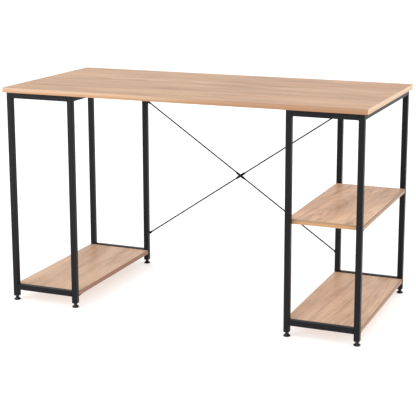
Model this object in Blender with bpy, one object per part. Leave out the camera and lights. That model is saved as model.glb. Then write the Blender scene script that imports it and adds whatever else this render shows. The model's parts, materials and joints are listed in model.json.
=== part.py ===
"""Writing desk: a wood-effect desktop on two open pedestals of square steel tube.

The left pedestal has one low shelf, the right pedestal a middle shelf and a low shelf. Two
steel rods cross behind the knee space, and each of the eight legs stands on a levelling foot.

Metres, +Z up. The origin is on the floor under the middle of the desk's bounding box, +X runs
along the front edge to the right, and +Y runs from the front to the back.
"""

import math

import bmesh
import bpy
from mathutils import Vector

# Driving dimensions: the desktop
DESK_HEIGHT = 0.750
TOP_WIDTH = 1.270
TOP_DEPTH = 0.600
TOP_THICKNESS = 0.017
PANEL_EDGE_ROUND = 0.0008

# The pedestals' square tube
TUBE_SIZE = 0.019
TUBE_WALL = 0.0012
TUBE_CORNER = 0.0020
PEDESTAL_WIDTH = 0.250
SIDE_OVERHANG = 0.012
FRONT_OVERHANG = 0.006
REAR_OVERHANG = 0.004
BOTTOM_RAIL_TOP = 0.0575

# Shelves and the welded tabs under them
SHELF_THICKNESS = 0.015
SHELF_SIDE_INSET = 0.0005
BOTTOM_SHELF_TOP = 0.0545
MIDDLE_SHELF_TOP = 0.3835
TAB_THICKNESS = 0.0025
TAB_WIDTH = 0.015
TAB_REACH = 0.022
TAB_CORNER = 0.004
TAB_HOLE_REACH = 0.013

# Levelling feet and the threaded inserts that close the legs
INSERT_FLOOR_HEIGHT = 0.015
INSERT_FLANGE = 0.0022
INSERT_CHAMFER = 0.0008
INSERT_LENGTH = 0.026
STUD_RADIUS = 0.004
STUD_TOP = 0.038
FOOT_RADIUS = 0.012
FOOT_NECK_RADIUS = 0.0056

# The crossed rods behind the knee space
ROD_RADIUS = 0.0025
ROD_FLAT_THICKNESS = 0.0022
ROD_FLAT_HALF_WIDTH = 0.0045
ROD_FLAT_HALF_LENGTH = 0.013
ROD_FLAT_RUN_OUT = 0.012
BRACE_TOP = 0.637
BRACE_BOTTOM = 0.114

# Screws, bolt and nut
SCREW_RADIUS = 0.0022
SCREW_HOLE_RADIUS = 0.0026
SCREW_HEAD_RADIUS = 0.0045
SCREW_HEAD_HEIGHT = 0.0026
SCREW_SOCKET_RADIUS = 0.0018
SCREW_SOCKET_DEPTH = 0.0014
BRACE_SCREW_LENGTH = 0.011
CENTRE_BOLT_LENGTH = 0.0125
NUT_RADIUS = 0.0046
NUT_HEIGHT = 0.0040
PILOT_RADIUS = 0.0020
PILOT_DEPTH = 0.011
TOP_SCREWS_PER_RAIL = 3
TOP_SCREW_END_MARGIN = 0.060

# Running gap between pieces that touch on the real desk
GAP = 0.0003

# Points per corner of a square tube, and round a turned piece
CORNER_POINTS = 4
ROUND_POINTS = 18
FOOT_POINTS = 24
HOLE_POINTS = 12
STADIUM_POINTS = 9

# Heights worked out from the dimensions above
TOP_UNDERSIDE = DESK_HEIGHT - TOP_THICKNESS
LEG_TOP = TOP_UNDERSIDE - GAP
LEG_BOTTOM = INSERT_FLOOR_HEIGHT + INSERT_FLANGE + GAP
TOP_RAIL_CENTRE = LEG_TOP - TUBE_SIZE / 2
BOTTOM_RAIL_CENTRE = BOTTOM_RAIL_TOP - TUBE_SIZE / 2

# Depths: the centre bolt's head stands a little proud of the desktop's rear edge
BRACE_STAND_OFF = GAP + ROD_RADIUS
BOLT_PROUD = BRACE_STAND_OFF + ROD_RADIUS + GAP + SCREW_HEAD_HEIGHT - REAR_OVERHANG
FRONT_EDGE = -(TOP_DEPTH + BOLT_PROUD) / 2
REAR_EDGE = FRONT_EDGE + TOP_DEPTH
FRONT_LEG_Y = FRONT_EDGE + FRONT_OVERHANG + TUBE_SIZE / 2
REAR_LEG_Y = REAR_EDGE - REAR_OVERHANG - TUBE_SIZE / 2
BRACE_Y = REAR_LEG_Y + TUBE_SIZE / 2 + BRACE_STAND_OFF
BETWEEN_LEGS_FRONT = FRONT_LEG_Y + TUBE_SIZE / 2 + GAP
BETWEEN_LEGS_REAR = REAR_LEG_Y - TUBE_SIZE / 2 - GAP

# Widths: distance of the outer and inner legs' centres from the middle of the desk
OUTER_LEG_X = TOP_WIDTH / 2 - SIDE_OVERHANG - TUBE_SIZE / 2
INNER_LEG_X = OUTER_LEG_X - PEDESTAL_WIDTH + TUBE_SIZE

SIDES = {"left": -1, "right": 1}
LEG_X = {"outer": OUTER_LEG_X, "inner": INNER_LEG_X}
LEG_Y = {"front": FRONT_LEG_Y, "rear": REAR_LEG_Y}
SHELVES = {
    "left_bottom_shelf": ("left", BOTTOM_SHELF_TOP),
    "right_bottom_shelf": ("right", BOTTOM_SHELF_TOP),
    "right_middle_shelf": ("right", MIDDLE_SHELF_TOP),
}

# Finishes: linear base colour, roughness, metallic
FINISHES = {
    "wood_panel": ((0.64, 0.45, 0.31, 1), 0.45, 0.0),
    "black_frame": ((0.028, 0.028, 0.031, 1), 0.42, 0.0),
    "black_plastic": ((0.010, 0.010, 0.011, 1), 0.25, 0.0),
    "black_screw": ((0.020, 0.020, 0.022, 1), 0.35, 1.0),
}


def clear_scene():
    for obj in list(bpy.data.objects):
        bpy.data.objects.remove(obj)


def finish(name):
    """The material of this name, made on first use."""
    material = bpy.data.materials.get(name)
    if material is None:
        colour, roughness, metallic = FINISHES[name]
        material = bpy.data.materials.new(name)
        material.use_nodes = True
        shader = material.node_tree.nodes["Principled BSDF"]
        shader.inputs["Base Color"].default_value = colour
        shader.inputs["Roughness"].default_value = roughness
        shader.inputs["Metallic"].default_value = metallic
    return material


def add_piece(name, mesh, finish_name, location=(0, 0, 0), rotation=(0, 0, 0)):
    mesh.materials.append(finish(finish_name))
    mesh.shade_smooth()
    mesh.set_sharp_from_angle(angle=math.radians(35))
    obj = bpy.data.objects.new(name, mesh)
    obj.location = location
    obj.rotation_euler = rotation
    bpy.context.scene.collection.objects.link(obj)
    return obj


# Shapes


def circle_ring(radius, z, points=ROUND_POINTS):
    turn = 2 * math.pi / points
    angles = [turn * (i + 0.5) for i in range(points)]
    return [Vector((radius * math.cos(angle), radius * math.sin(angle), z)) for angle in angles]


def hexagon_ring(radius, z, points=ROUND_POINTS):
    """A hexagon whose points sit at the same angles as those of circle_ring."""
    ring = []
    for point in circle_ring(1, z, points):
        angle = math.atan2(point.y, point.x) % (math.pi / 3) - math.pi / 6
        reach = radius * math.cos(math.pi / 6) / math.cos(angle)
        ring.append(Vector((point.x * reach, point.y * reach, z)))
    return ring


def square_ring(half_side, corner, z):
    """A square with round corners, with CORNER_POINTS points on each corner."""
    ring = []
    centre = half_side - corner
    for quarter in range(4):
        middle = math.pi / 4 + quarter * math.pi / 2
        corner_x = math.copysign(centre, math.cos(middle))
        corner_y = math.copysign(centre, math.sin(middle))
        for i in range(CORNER_POINTS):
            angle = middle + (i / (CORNER_POINTS - 1) - 0.5) * math.pi / 2
            point = (corner_x + corner * math.cos(angle), corner_y + corner * math.sin(angle), z)
            ring.append(Vector(point))
    return ring


def stadium_ring(half_width, half_height, offset, x):
    """The section of a rod across its length: a circle, or the same rod pressed flat."""
    ring = []
    for end in (1, -1):
        for i in range(STADIUM_POINTS):
            angle = math.pi * (i / (STADIUM_POINTS - 1) - 0.5)
            across = end * (half_width - half_height + half_height * math.cos(angle))
            ring.append(Vector((x, offset + end * half_height * math.sin(angle), across)))
    return ring


def mesh_of_rings(name, rings, hollow=False):
    """Rings of equal length joined in order. A hollow piece's last ring joins its first one."""
    bm = bmesh.new()
    loops = [[bm.verts.new(point) for point in ring] for ring in rings]
    following = loops[1:] + loops[:1] if hollow else loops[1:]
    for lower, upper in zip(loops, following):
        for i in range(len(lower)):
            j = (i + 1) % len(lower)
            bm.faces.new((lower[i], lower[j], upper[j], upper[i]))
    if not hollow:
        bm.faces.new(reversed(loops[0]))
        bm.faces.new(loops[-1])
    return finished_mesh(name, bm)


def finished_mesh(name, bm):
    bmesh.ops.recalc_face_normals(bm, faces=bm.faces)
    if bm.calc_volume(signed=True) < 0:
        bmesh.ops.reverse_faces(bm, faces=bm.faces)
    mesh = bpy.data.meshes.new(name)
    bm.to_mesh(mesh)
    bm.free()
    return mesh


def drill(target, radius, starts, direction, length):
    """Holes cut by one hidden cutter: a cylinder from each start along the direction."""
    bm = bmesh.new()
    turned = Vector((0, 0, 1)).rotation_difference(Vector(direction)).to_matrix()
    for start in starts:
        rings = [circle_ring(radius, z, HOLE_POINTS) for z in (0, length)]
        loops = [[bm.verts.new(turned @ point + Vector(start)) for point in ring] for ring in rings]
        for i in range(HOLE_POINTS):
            j = (i + 1) % HOLE_POINTS
            bm.faces.new((loops[0][i], loops[0][j], loops[1][j], loops[1][i]))
        bm.faces.new(reversed(loops[0]))
        bm.faces.new(loops[1])
    cutter = bpy.data.objects.new(target.name + "_drill", finished_mesh(target.name + "_drill", bm))
    cutter.hide_render = True
    cutter.display_type = "WIRE"
    bpy.context.scene.collection.objects.link(cutter)
    holes = target.modifiers.new("holes", "BOOLEAN")
    holes.operation = "DIFFERENCE"
    holes.object = cutter


# Panels


def add_panel(name, low, high):
    bm = bmesh.new()
    bmesh.ops.create_cube(bm, size=1)
    size = Vector(high) - Vector(low)
    bmesh.ops.scale(bm, vec=size, verts=bm.verts)
    panel = add_piece(name, finished_mesh(name, bm), "wood_panel", (Vector(low) + Vector(high)) / 2)
    edge = panel.modifiers.new("edge_round", "BEVEL")
    edge.width = PANEL_EDGE_ROUND
    edge.segments = 2
    return panel


def top_screw_depths():
    first = BETWEEN_LEGS_FRONT + TOP_SCREW_END_MARGIN
    last = BETWEEN_LEGS_REAR - TOP_SCREW_END_MARGIN
    step = (last - first) / (TOP_SCREWS_PER_RAIL - 1)
    return [first + i * step for i in range(TOP_SCREWS_PER_RAIL)]


def tab_hole_y(row):
    if row == "front":
        return BETWEEN_LEGS_FRONT + TAB_HOLE_REACH
    return BETWEEN_LEGS_REAR - TAB_HOLE_REACH


def make_desktop():
    half = TOP_WIDTH / 2
    desktop = add_panel("desktop", (-half, FRONT_EDGE, TOP_UNDERSIDE), (half, REAR_EDGE, DESK_HEIGHT))
    starts = []
    for side in SIDES.values():
        for leg_x in LEG_X.values():
            starts += [(side * leg_x, y, TOP_UNDERSIDE - 0.005) for y in top_screw_depths()]
    drill(desktop, PILOT_RADIUS, starts, (0, 0, 1), PILOT_DEPTH + 0.005)


def make_shelves():
    for name, (side_name, top) in SHELVES.items():
        side = SIDES[side_name]
        outer = OUTER_LEG_X + TUBE_SIZE / 2 - SHELF_SIDE_INSET
        inner = outer - PEDESTAL_WIDTH + 2 * SHELF_SIDE_INSET
        low_x, high_x = sorted((side * inner, side * outer))
        bottom = top - SHELF_THICKNESS
        shelf = add_panel(name, (low_x, BETWEEN_LEGS_FRONT, bottom), (high_x, BETWEEN_LEGS_REAR, top))
        hole_depths = [tab_hole_y(row) for row in LEG_Y]
        starts = [(side * leg_x, y, bottom - 0.005) for leg_x in LEG_X.values() for y in hole_depths]
        drill(shelf, PILOT_RADIUS, starts, (0, 0, 1), PILOT_DEPTH + 0.005)


# Pedestals


def tube_mesh(name, length):
    """A square tube along Z, centred on the origin and open at both ends."""
    half = TUBE_SIZE / 2
    inner_corner = TUBE_CORNER - TUBE_WALL
    low, high = -length / 2, length / 2
    rings = [
        square_ring(half, TUBE_CORNER, low),
        square_ring(half, TUBE_CORNER, high),
        square_ring(half - TUBE_WALL, inner_corner, high),
        square_ring(half - TUBE_WALL, inner_corner, low),
    ]
    return mesh_of_rings(name, rings, hollow=True)


def make_legs():
    length = LEG_TOP - LEG_BOTTOM
    middle = (LEG_TOP + LEG_BOTTOM) / 2
    rear_face = REAR_LEG_Y + TUBE_SIZE / 2
    for side_name, side in SIDES.items():
        for place, leg_x in LEG_X.items():
            for row, leg_y in LEG_Y.items():
                name = f"{side_name}_{row}_{place}_leg"
                location = (side * leg_x, leg_y, middle)
                leg = add_piece(name, tube_mesh(name, length), "black_frame", location)
                if (row, place) == ("rear", "inner"):
                    starts = [(side * leg_x, rear_face + 0.003, z) for z in (BRACE_TOP, BRACE_BOTTOM)]
                    drill(leg, SCREW_HOLE_RADIUS, starts, (0, -1, 0), 0.008)


def make_cross_rails():
    """Rails along X, between the outer and the inner leg of one pedestal."""
    length = OUTER_LEG_X - INNER_LEG_X - TUBE_SIZE - 2 * GAP
    middle = (OUTER_LEG_X + INNER_LEG_X) / 2
    for side_name, side in SIDES.items():
        for row, leg_y in LEG_Y.items():
            for level, z in (("top", TOP_RAIL_CENTRE), ("bottom", BOTTOM_RAIL_CENTRE)):
                name = f"{side_name}_{row}_{level}_rail"
                place = (side * middle, leg_y, z)
                add_piece(name, tube_mesh(name, length), "black_frame", place, (0, math.pi / 2, 0))


def make_side_rails():
    """Rails along Y, between the front and the rear legs, with the desktop's screws through them."""
    length = BETWEEN_LEGS_REAR - BETWEEN_LEGS_FRONT
    middle = (BETWEEN_LEGS_REAR + BETWEEN_LEGS_FRONT) / 2
    for side_name, side in SIDES.items():
        for place, leg_x in LEG_X.items():
            name = f"{side_name}_{place}_side_rail"
            location = (side * leg_x, middle, TOP_RAIL_CENTRE)
            rail = add_piece(name, tube_mesh(name, length), "black_frame", location, (math.pi / 2, 0, 0))
            starts = [(side * leg_x, y, TOP_RAIL_CENTRE - TUBE_SIZE) for y in top_screw_depths()]
            drill(rail, SCREW_HOLE_RADIUS, starts, (0, 0, 1), 2 * TUBE_SIZE)


def tab_mesh(name):
    """A flat tab along +Y from y = 0, its top face on z = 0 and its two free corners round."""
    half = TAB_WIDTH / 2
    outline = [(-half, 0), (half, 0)]
    for first_angle, centre_x in ((0, half - TAB_CORNER), (math.pi / 2, TAB_CORNER - half)):
        for i in range(CORNER_POINTS):
            angle = first_angle + i / (CORNER_POINTS - 1) * math.pi / 2
            y = TAB_REACH - TAB_CORNER + TAB_CORNER * math.sin(angle)
            outline.append((centre_x + TAB_CORNER * math.cos(angle), y))
    rings = [[Vector((x, y, z)) for x, y in outline] for z in (-TAB_THICKNESS, 0)]
    return mesh_of_rings(name, rings)


def make_tabs():
    """One tab on each leg under each shelf, holding the shelf by a screw from below."""
    for shelf, (side_name, top) in SHELVES.items():
        plate_top = top - SHELF_THICKNESS - GAP
        for place, leg_x in LEG_X.items():
            for row in LEG_Y:
                name = f"{shelf}_{row}_{place}_tab"
                x = SIDES[side_name] * leg_x
                y = BETWEEN_LEGS_FRONT if row == "front" else BETWEEN_LEGS_REAR
                facing = 0 if row == "front" else math.pi
                tab = add_piece(name, tab_mesh(name), "black_frame", (x, y, plate_top), (0, 0, facing))
                start = (x, tab_hole_y(row), plate_top - 0.006)
                drill(tab, SCREW_HOLE_RADIUS, [start], (0, 0, 1), 0.010)


# Levelling feet


def insert_mesh(name):
    """The plug in a leg's lower end: a flange under the tube, a body inside it, a bore for the stud."""
    half = TUBE_SIZE / 2
    body = half - TUBE_WALL - GAP
    body_corner = TUBE_CORNER - TUBE_WALL
    flange_top = INSERT_FLOOR_HEIGHT + INSERT_FLANGE
    top = INSERT_FLOOR_HEIGHT + INSERT_LENGTH
    bore = STUD_RADIUS + GAP
    count = 4 * CORNER_POINTS
    rings = [
        square_ring(half - INSERT_CHAMFER, TUBE_CORNER, INSERT_FLOOR_HEIGHT),
        square_ring(half, TUBE_CORNER, INSERT_FLOOR_HEIGHT + INSERT_CHAMFER),
        square_ring(half, TUBE_CORNER, flange_top),
        square_ring(body, body_corner, flange_top),
        square_ring(body, body_corner, top - INSERT_CHAMFER),
        square_ring(body - INSERT_CHAMFER, body_corner, top),
        circle_ring(bore, top, count),
        circle_ring(bore, INSERT_FLOOR_HEIGHT, count),
    ]
    return mesh_of_rings(name, rings, hollow=True)


def foot_mesh(name):
    """A flared foot moulded on a threaded stud, standing on z = 0."""
    neck_top = INSERT_FLOOR_HEIGHT - GAP
    profile = [
        (FOOT_RADIUS - 0.0020, 0.0),
        (FOOT_RADIUS - 0.0004, 0.0008),
        (FOOT_RADIUS, 0.0022),
        (FOOT_RADIUS - 0.0008, 0.0038),
        (FOOT_RADIUS - 0.0040, 0.0064),
        (FOOT_NECK_RADIUS + 0.0003, 0.0092),
        (FOOT_NECK_RADIUS, 0.0110),
        (FOOT_NECK_RADIUS, neck_top),
        (STUD_RADIUS, neck_top),
        (STUD_RADIUS, STUD_TOP - 0.001),
        (STUD_RADIUS - 0.001, STUD_TOP),
    ]
    return mesh_of_rings(name, [circle_ring(radius, z, FOOT_POINTS) for radius, z in profile])


def make_feet():
    for side_name, side in SIDES.items():
        for place, leg_x in LEG_X.items():
            for row, leg_y in LEG_Y.items():
                leg = f"{side_name}_{row}_{place}"
                axis = (side * leg_x, leg_y, 0)
                add_piece(f"{leg}_insert", insert_mesh(f"{leg}_insert"), "black_plastic", axis)
                add_piece(f"{leg}_foot", foot_mesh(f"{leg}_foot"), "black_plastic", axis)


# The crossed rods


def rod_section(along, flats):
    """Half width, half height and offset of a rod, by its distance from the flats pressed in it."""
    half_width, half_height, offset = ROD_RADIUS, ROD_RADIUS, 0.0
    for centre, side in flats:
        beyond = (abs(along - centre) - ROD_FLAT_HALF_LENGTH) / ROD_FLAT_RUN_OUT
        if beyond < 1:
            press = 1 - max(beyond, 0) ** 2 * (3 - 2 * max(beyond, 0))
            half_width += (ROD_FLAT_HALF_WIDTH - ROD_RADIUS) * press
            half_height += (ROD_FLAT_THICKNESS / 2 - ROD_RADIUS) * press
            offset = side * (ROD_RADIUS - ROD_FLAT_THICKNESS / 2) * press
    return half_width, half_height, offset


def rod_stations(length):
    """Places along the rod: the round eye ends, and every stretch where the section changes."""
    eye = [ROD_FLAT_HALF_WIDTH * math.cos(math.radians(angle)) for angle in (14, 40, 65, 90)]
    flat = [ROD_FLAT_HALF_LENGTH + ROD_FLAT_RUN_OUT * i / 4 for i in range(5)]
    stations = [-reach for reach in eye] + flat
    stations += [length / 2 - reach for reach in reversed(flat)]
    stations += [length / 2 + reach for reach in flat]
    stations += [length - reach for reach in reversed(flat)] + [length + reach for reach in reversed(eye)]
    return stations


def rod_mesh(name, length, centre_side):
    """A rod along +X from one screw's centre to the other's, pressed flat at both ends and midway."""
    flats = [(0, -1), (length / 2, centre_side), (length, -1)]
    rings = []
    for along in rod_stations(length):
        half_width, half_height, offset = rod_section(along, flats)
        past_eye = max(-along, along - length, 0)
        if past_eye:
            half_width = max(math.sqrt(max(ROD_FLAT_HALF_WIDTH**2 - past_eye**2, 0)), half_height)
        rings.append(stadium_ring(half_width, half_height, offset, along))
    return mesh_of_rings(name, rings)


def make_brace_rods():
    start = Vector((-INNER_LEG_X, BRACE_Y, 0))
    end = Vector((INNER_LEG_X, BRACE_Y, 0))
    for name, left_z, right_z, centre_side in (
        ("brace_rod_falling", BRACE_TOP, BRACE_BOTTOM, -1),
        ("brace_rod_rising", BRACE_BOTTOM, BRACE_TOP, 1),
    ):
        start.z, end.z = left_z, right_z
        run = end - start
        tilt = -math.atan2(run.z, run.x)
        rod = add_piece(name, rod_mesh(name, run.length, centre_side), "black_frame", start, (0, tilt, 0))
        middle = (start + end) / 2
        starts = [point + Vector((0, 0.008, 0)) for point in (start, middle, end)]
        drill(rod, SCREW_HOLE_RADIUS, starts, (0, -1, 0), 0.016)


def screw_mesh(name, length):
    """A button-head screw along Z: a head with a hexagon socket on z = 0, and the shank below it."""
    socket_floor = SCREW_HEAD_HEIGHT - SCREW_SOCKET_DEPTH
    rings = [
        circle_ring(SCREW_RADIUS - 0.0007, -length),
        circle_ring(SCREW_RADIUS, -length + 0.001),
        circle_ring(SCREW_RADIUS, 0),
        circle_ring(SCREW_HEAD_RADIUS - 0.0002, 0),
        circle_ring(SCREW_HEAD_RADIUS, SCREW_HEAD_HEIGHT * 0.2),
        circle_ring(SCREW_HEAD_RADIUS * 0.88, SCREW_HEAD_HEIGHT * 0.62),
        circle_ring(SCREW_HEAD_RADIUS * 0.64, SCREW_HEAD_HEIGHT),
        hexagon_ring(SCREW_SOCKET_RADIUS, SCREW_HEAD_HEIGHT),
        hexagon_ring(SCREW_SOCKET_RADIUS, socket_floor),
    ]
    return mesh_of_rings(name, rings)


def nut_mesh(name):
    rings = [
        hexagon_ring(NUT_RADIUS, 0),
        hexagon_ring(NUT_RADIUS, NUT_HEIGHT),
        circle_ring(SCREW_RADIUS + GAP, NUT_HEIGHT),
        circle_ring(SCREW_RADIUS + GAP, 0),
    ]
    return mesh_of_rings(name, rings, hollow=True)


def make_brace_hardware():
    """A screw through each rod end into its leg, and a bolt and nut where the rods cross."""
    facing_back = (-math.pi / 2, 0, 0)
    eye_back = BRACE_Y - ROD_RADIUS + ROD_FLAT_THICKNESS + GAP
    for side_name, side in SIDES.items():
        for end, z in (("top", BRACE_TOP), ("bottom", BRACE_BOTTOM)):
            name = f"brace_screw_{side_name}_{end}"
            place = (side * INNER_LEG_X, eye_back, z)
            add_piece(name, screw_mesh(name, BRACE_SCREW_LENGTH), "black_screw", place, facing_back)
    crossing = (BRACE_TOP + BRACE_BOTTOM) / 2
    bolt = screw_mesh("brace_centre_bolt", CENTRE_BOLT_LENGTH)
    bolt_place = (0, BRACE_Y + ROD_RADIUS + GAP, crossing)
    add_piece("brace_centre_bolt", bolt, "black_screw", bolt_place, facing_back)
    nut = nut_mesh("brace_centre_nut")
    nut_place = (0, BRACE_Y - ROD_RADIUS - GAP - NUT_HEIGHT, crossing)
    add_piece("brace_centre_nut", nut, "black_screw", nut_place, facing_back)


def main():
    clear_scene()
    make_desktop()
    make_shelves()
    make_legs()
    make_cross_rails()
    make_side_rails()
    make_tabs()
    make_feet()
    make_brace_rods()
    make_brace_hardware()


main()
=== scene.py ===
"""Computer desk: an oak-effect desktop on two black steel pedestals, with three shelves.

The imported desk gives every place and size. Each operator below dresses one group of its pieces:
the boards, the coated steel, its welds, the screws, the levelling feet and the crossed rods.
"""

import json
import math

import bmesh
import bpy
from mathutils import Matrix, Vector

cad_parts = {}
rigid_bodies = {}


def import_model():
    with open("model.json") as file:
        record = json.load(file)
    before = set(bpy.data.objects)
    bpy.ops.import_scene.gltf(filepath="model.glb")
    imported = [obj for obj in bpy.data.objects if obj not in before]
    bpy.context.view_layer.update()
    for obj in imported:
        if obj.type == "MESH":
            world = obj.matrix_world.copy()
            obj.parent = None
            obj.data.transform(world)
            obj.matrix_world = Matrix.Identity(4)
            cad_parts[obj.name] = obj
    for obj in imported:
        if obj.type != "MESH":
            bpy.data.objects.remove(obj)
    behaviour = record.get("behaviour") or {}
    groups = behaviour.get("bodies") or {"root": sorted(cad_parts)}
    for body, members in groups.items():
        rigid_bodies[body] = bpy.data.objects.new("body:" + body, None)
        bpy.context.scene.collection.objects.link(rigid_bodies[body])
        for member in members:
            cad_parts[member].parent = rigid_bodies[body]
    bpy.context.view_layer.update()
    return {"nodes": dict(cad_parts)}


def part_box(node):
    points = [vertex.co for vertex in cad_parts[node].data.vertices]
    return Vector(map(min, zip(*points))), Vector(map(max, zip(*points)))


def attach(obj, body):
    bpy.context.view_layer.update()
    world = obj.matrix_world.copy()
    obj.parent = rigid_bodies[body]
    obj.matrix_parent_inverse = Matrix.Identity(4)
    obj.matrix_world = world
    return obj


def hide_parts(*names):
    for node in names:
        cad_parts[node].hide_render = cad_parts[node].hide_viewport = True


bl_info = {
    "name": "Oak and steel computer desk",
    "version": (1, 0, 0),
    "blender": (4, 5, 0),
    "location": "View3D > Sidebar > Desk",
    "description": "Builds a two-pedestal desk with oak-effect boards and black steel legs",
    "category": "Object",
}

for startup_object in list(bpy.data.objects):
    bpy.data.objects.remove(startup_object, do_unlink=True)

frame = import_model()

SMOOTH_ANGLE = math.radians(35)
MERGE_DISTANCE = 1e-6

SHELVES = ("left_bottom_shelf", "right_bottom_shelf", "right_middle_shelf")
SIDES = ("left", "right")
ROWS = ("front", "rear")
PLACES = ("outer", "inner")
LEGS = [(side, row, place) for side in SIDES for row in ROWS for place in PLACES]


# Sizes and colours that a maker would change


class DeskBoardSizes(bpy.types.PropertyGroup):
    """Details of the boards' edges"""

    arris: bpy.props.FloatProperty(
        name="Arris",
        description="Rounding of the boards' corners",
        default=0.0009,
        min=0.0,
        unit="LENGTH",
    )
    band: bpy.props.FloatProperty(
        name="Edge band",
        description="Thickness of the edge band",
        default=0.0016,
        min=0.0,
        unit="LENGTH",
    )
    groove: bpy.props.FloatProperty(
        name="Glue line",
        description="Width of the line beside the band",
        default=0.0003,
        min=0.0,
        unit="LENGTH",
    )
    groove_depth: bpy.props.FloatProperty(
        name="Glue line depth",
        description="Depth of that line",
        default=0.0001,
        min=0.0,
        unit="LENGTH",
    )


class DeskWeldSizes(bpy.types.PropertyGroup):
    """The welds in the inner corners of the steel frame"""

    radius: bpy.props.FloatProperty(
        name="Bead radius",
        description="Mean radius of a weld bead",
        default=0.0014,
        min=0.0,
        unit="LENGTH",
    )
    ripple_pitch: bpy.props.FloatProperty(
        name="Ripple pitch",
        description="Distance between two ripples",
        default=0.0018,
        min=0.0001,
        unit="LENGTH",
    )
    ripple: bpy.props.FloatProperty(
        name="Ripple",
        description="Share of the radius that a ripple adds",
        default=0.22,
        min=0.0,
        max=1.0,
    )


class DeskScrewSizes(bpy.types.PropertyGroup):
    """The cross-recess screws, the brace's bolt and its nut"""

    head_radius: bpy.props.FloatProperty(
        name="Head radius",
        description="Radius of a screw's head",
        default=0.0045,
        min=0.0,
        unit="LENGTH",
    )
    head_height: bpy.props.FloatProperty(
        name="Head height",
        description="Height of a screw's head",
        default=0.0026,
        min=0.0,
        unit="LENGTH",
    )
    recess_width: bpy.props.FloatProperty(
        name="Recess width",
        description="Span of the cross recess",
        default=0.0044,
        min=0.0,
        unit="LENGTH",
    )
    recess_slot: bpy.props.FloatProperty(
        name="Recess slot",
        description="Width of each slot of the cross",
        default=0.0009,
        min=0.0,
        unit="LENGTH",
    )
    recess_depth: bpy.props.FloatProperty(
        name="Recess depth",
        description="Depth of the cross recess",
        default=0.0013,
        min=0.0,
        unit="LENGTH",
    )


class DeskFootSizes(bpy.types.PropertyGroup):
    """The levelling feet"""

    pitch: bpy.props.FloatProperty(
        name="Thread pitch",
        description="Rise of the stud's thread in one turn",
        default=0.00125,
        min=0.0005,
        unit="LENGTH",
    )
    thread_depth: bpy.props.FloatProperty(
        name="Thread depth",
        description="Depth of the stud's thread",
        default=0.0005,
        min=0.0,
        unit="LENGTH",
    )
    stud_radius: bpy.props.FloatProperty(
        name="Stud radius",
        description="Outer radius of the threaded stud",
        default=0.004,
        min=0.0,
        unit="LENGTH",
    )


class DeskColours(bpy.types.PropertyGroup):
    """Base colours of the finishes"""

    oak_light: bpy.props.FloatVectorProperty(
        name="Oak, light",
        description="Early wood and light bands",
        default=(0.635, 0.415, 0.260),
        subtype="COLOR",
    )
    oak_middle: bpy.props.FloatVectorProperty(
        name="Oak, middle",
        description="Ground colour of the boards",
        default=(0.475, 0.285, 0.170),
        subtype="COLOR",
    )
    oak_dark: bpy.props.FloatVectorProperty(
        name="Oak, dark",
        description="Late wood and pores",
        default=(0.325, 0.170, 0.090),
        subtype="COLOR",
    )
    steel_coat: bpy.props.FloatVectorProperty(
        name="Steel coat",
        description="Powder coat on the steel",
        default=(0.0076, 0.0076, 0.0092),
        subtype="COLOR",
    )
    plastic: bpy.props.FloatVectorProperty(
        name="Plastic",
        description="Moulded feet and leg inserts",
        default=(0.0045, 0.0045, 0.005),
        subtype="COLOR",
    )
    floor: bpy.props.FloatVectorProperty(
        name="Floor",
        description="The pale studio floor",
        default=(0.60, 0.60, 0.60),
        subtype="COLOR",
    )


class DeskStageSizes(bpy.types.PropertyGroup):
    """Camera and lights"""

    camera_place: bpy.props.FloatVectorProperty(
        name="Camera place",
        description="Where the camera stands",
        default=(1.509, -3.654, 1.299),
        subtype="TRANSLATION",
    )
    camera_pitch: bpy.props.FloatProperty(
        name="Camera pitch",
        description="How far the camera looks down",
        default=math.radians(11.46),
        subtype="ANGLE",
    )
    camera_turn: bpy.props.FloatProperty(
        name="Camera turn",
        description="How far the camera turns to the left",
        default=math.radians(21.92),
        subtype="ANGLE",
    )
    lens: bpy.props.FloatProperty(
        name="Lens",
        description="Focal length in millimetres",
        default=101.0,
        min=10.0,
    )
    shift_x: bpy.props.FloatProperty(
        name="Shift across",
        description="Sideways lens shift",
        default=-0.03,
    )
    shift_y: bpy.props.FloatProperty(
        name="Shift up",
        description="Upward lens shift",
        default=-0.12,
    )
    sky: bpy.props.FloatProperty(
        name="Sky",
        description="Strength of the even light",
        default=1.0,
        min=0.0,
    )
    floor_glow: bpy.props.FloatProperty(
        name="Floor glow",
        description="Light that the floor gives off by itself",
        default=0.5,
        min=0.0,
    )
    overhead: bpy.props.FloatProperty(
        name="Overhead",
        description="Strength of the top light",
        default=0.95,
        min=0.0,
    )
    key: bpy.props.FloatProperty(
        name="Key",
        description="Power of the front left light",
        default=18.0,
        min=0.0,
    )
    side: bpy.props.FloatProperty(
        name="Side",
        description="Power of the right light",
        default=12.0,
        min=0.0,
    )


class DeskSettings(bpy.types.PropertyGroup):
    """Everything that a maker would change on the desk"""

    boards: bpy.props.PointerProperty(type=DeskBoardSizes, name="Boards", description="Board edges")
    welds: bpy.props.PointerProperty(type=DeskWeldSizes, name="Welds", description="Weld beads")
    screws: bpy.props.PointerProperty(type=DeskScrewSizes, name="Screws", description="Screw heads")
    feet: bpy.props.PointerProperty(type=DeskFootSizes, name="Feet", description="Levelling feet")
    colours: bpy.props.PointerProperty(type=DeskColours, name="Colours", description="Base colours")
    stage: bpy.props.PointerProperty(type=DeskStageSizes, name="Stage", description="Camera and lights")


# Node trees


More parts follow.
